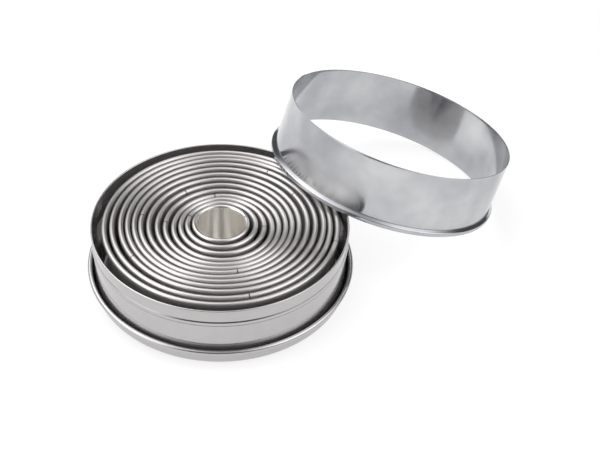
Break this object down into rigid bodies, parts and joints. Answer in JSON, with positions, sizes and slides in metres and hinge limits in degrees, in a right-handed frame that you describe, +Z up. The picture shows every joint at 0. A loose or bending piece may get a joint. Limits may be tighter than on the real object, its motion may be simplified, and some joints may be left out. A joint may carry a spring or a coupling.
{
  "type": "biscuit cutter set",
  "caption": "Nesting set of plain round biscuit cutters with rolled rims, in a round tin standing in its lid, the largest cutter leaning on the tin's rim.",
  "frame": {"origin": "centre of the lid's flat underside, on the surface the set stands on", "axes": "+Z up, along the axis of the lid, the tin and the nested cutters; the largest cutter leans on the tin at +X +Y"},
  "size_m": [0.1818, 0.1604, 0.058],
  "materials": {
    "tin_plate": "satin tinned steel sheet",
    "cutter_strip": "bright tinned steel strip"
  },
  "bodies": {
    "lid": {"tin_lid": "tin_plate"},
    "tin": {"tin_wall": "tin_plate", "tin_bottom": "tin_plate"},
    "cutter_01": {"cutter_01": "cutter_strip"},
    "cutter_02": {"cutter_02": "cutter_strip"},
    "cutter_03": {"cutter_03": "cutter_strip"},
    "cutter_04": {"cutter_04": "cutter_strip"},
    "cutter_05": {"cutter_05": "cutter_strip"},
    "cutter_06": {"cutter_06": "cutter_strip"},
    "cutter_07": {"cutter_07": "cutter_strip"},
    "cutter_08": {"cutter_08": "cutter_strip"},
    "cutter_09": {"cutter_09": "cutter_strip"},
    "cutter_10": {"cutter_10": "cutter_strip"},
    "cutter_11": {"cutter_11": "cutter_strip"},
    "cutter_12": {"cutter_12": "cutter_strip"},
    "cutter_13": {"cutter_13": "cutter_strip"},
    "cutter_14": {"cutter_14": "cutter_strip"}
  },
  "joints": [
    {"name": "tin_lift", "type": "slide", "parent": "lid", "child": "tin", "axis": [0, 0, 1], "range_m": [0, 0.04]},
    {"name": "cutter_13_lift", "type": "slide", "parent": "tin", "child": "cutter_13", "axis": [0, 0, 1], "range_m": [0, 0.03]},
    {"name": "cutter_12_lift", "type": "slide", "parent": "cutter_13", "child": "cutter_12", "axis": [0, 0, 1], "range_m": [0, 0.03]},
    {"name": "cutter_11_lift", "type": "slide", "parent": "cutter_12", "child": "cutter_11", "axis": [0, 0, 1], "range_m": [0, 0.03]},
    {"name": "cutter_10_lift", "type": "slide", "parent": "cutter_11", "child": "cutter_10", "axis": [0, 0, 1], "range_m": [0, 0.03]},
    {"name": "cutter_09_lift", "type": "slide", "parent": "cutter_10", "child": "cutter_09", "axis": [0, 0, 1], "range_m": [0, 0.03]},
    {"name": "cutter_08_lift", "type": "slide", "parent": "cutter_09", "child": "cutter_08", "axis": [0, 0, 1], "range_m": [0, 0.03]},
    {"name": "cutter_07_lift", "type": "slide", "parent": "cutter_08", "child": "cutter_07", "axis": [0, 0, 1], "range_m": [0, 0.03]},
    {"name": "cutter_06_lift", "type": "slide", "parent": "cutter_07", "child": "cutter_06", "axis": [0, 0, 1], "range_m": [0, 0.03]},
    {"name": "cutter_05_lift", "type": "slide", "parent": "cutter_06", "child": "cutter_05", "axis": [0, 0, 1], "range_m": [0, 0.03]},
    {"name": "cutter_04_lift", "type": "slide", "parent": "cutter_05", "child": "cutter_04", "axis": [0, 0, 1], "range_m": [0, 0.03]},
    {"name": "cutter_03_lift", "type": "slide", "parent": "cutter_04", "child": "cutter_03", "axis": [0, 0, 1], "range_m": [0, 0.03]},
    {"name": "cutter_02_lift", "type": "slide", "parent": "cutter_03", "child": "cutter_02", "axis": [0, 0, 1], "range_m": [0, 0.03]},
    {"name": "cutter_01_lift", "type": "slide", "parent": "cutter_02", "child": "cutter_01", "axis": [0, 0, 1], "range_m": [0, 0.03]},
    {"name": "cutter_14_lift", "type": "slide", "parent": "cutter_10", "child": "cutter_14", "axis": [0, 0, 1], "range_m": [0, 0.04]}
  ]
}
